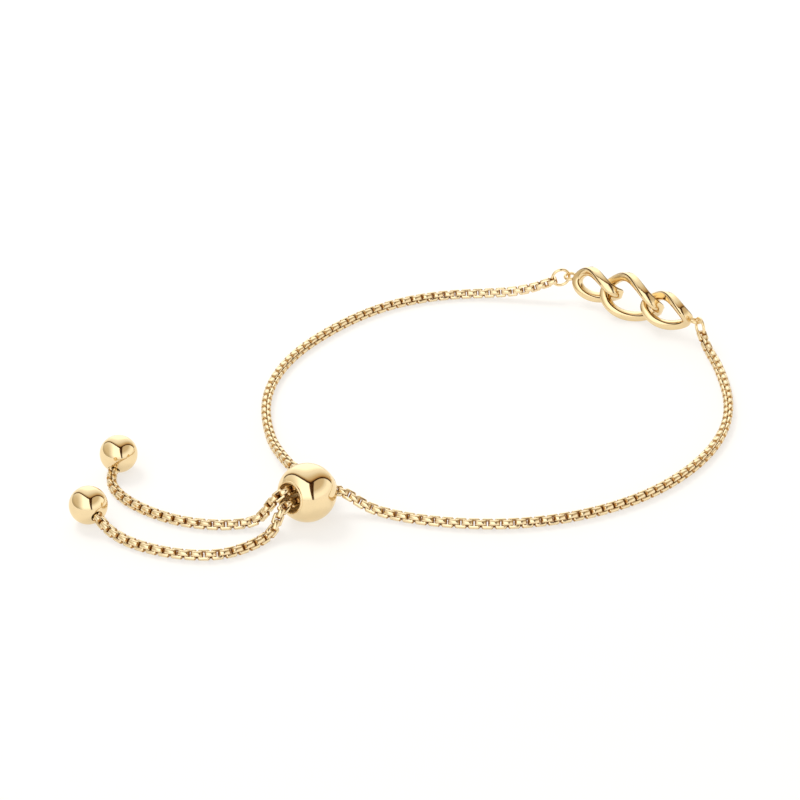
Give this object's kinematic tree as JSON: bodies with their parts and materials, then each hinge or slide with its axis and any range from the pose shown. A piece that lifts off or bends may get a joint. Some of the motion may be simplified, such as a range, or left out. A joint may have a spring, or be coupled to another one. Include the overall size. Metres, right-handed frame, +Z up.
{
  "type": "adjustable link bracelet",
  "caption": "Slide bracelet: twisted curb links between round box chains that run through a bored slide bead to free ends with balls.",
  "frame": {"origin": "centre of the bounding box at the surface it rests on", "axes": "+Z up; +Y away from the viewer of the picture; +X to the right, along the longest extent"},
  "size_m": [0.0794, 0.0674, 0.0069],
  "materials": {
    "polished_gold": "polished pale yellow gold",
    "wire_gold": "polished round wire",
    "chain_gold": "polished small links",
    "bead_gold": "mirror polished"
  },
  "bodies": {
    "root": {"curb_link_left": "polished_gold", "curb_link_middle": "polished_gold", "curb_link_right": "polished_gold", "jump_ring_left": "wire_gold", "jump_ring_right": "wire_gold", "loop_chain_left": "chain_gold", "loop_chain_right": "chain_gold", "tail_chain_left": "chain_gold", "tail_chain_right": "chain_gold", "slide_bead": "bead_gold", "end_bead_left": "bead_gold", "end_bead_right": "bead_gold"}
  },
  "joints": []
}
